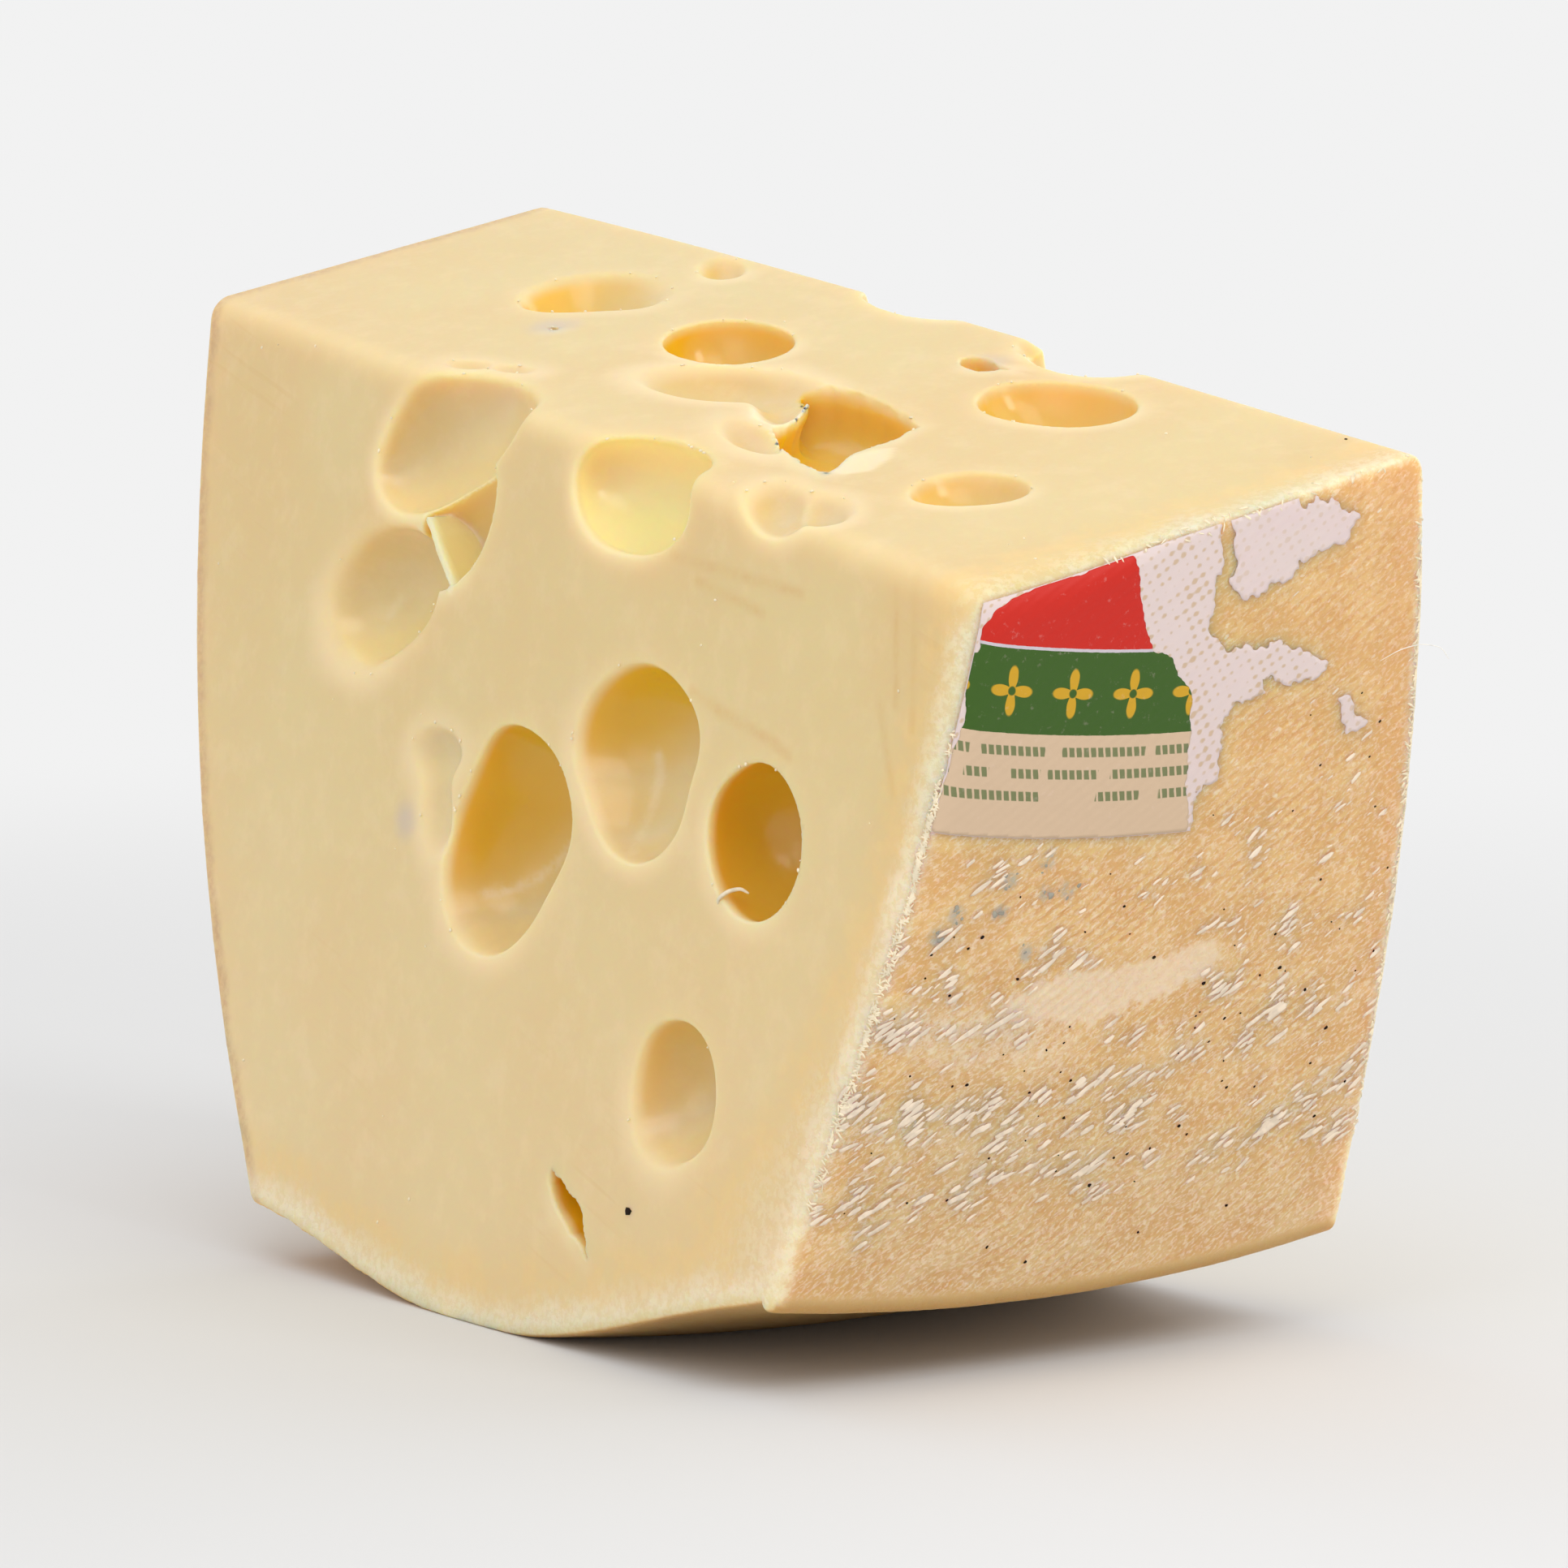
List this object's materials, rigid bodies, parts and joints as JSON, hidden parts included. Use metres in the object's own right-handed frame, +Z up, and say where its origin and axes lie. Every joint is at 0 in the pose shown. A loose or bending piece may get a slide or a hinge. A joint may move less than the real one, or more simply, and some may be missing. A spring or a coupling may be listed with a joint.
{
  "type": "cheese wedge",
  "caption": "Free-standing sector block of pale hard cheese with large round eyes, two cut faces, cloth-marked rind and the torn rest of a paper label.",
  "frame": {"origin": "middle of the bottom of the block as it stands", "axes": "+X along the wheel's axis towards the labelled rind face, +Y away from the front cut face, +Z up from the heel to the top cut"},
  "size_m": [0.235, 0.112, 0.1783],
  "materials": {
    "cheese": "waxy",
    "label": "matte",
    "label_scrap": "matte"
  },
  "bodies": {
    "root": {"cheese": "cheese", "label": "label", "label_scrap": "label_scrap"}
  },
  "joints": []
}
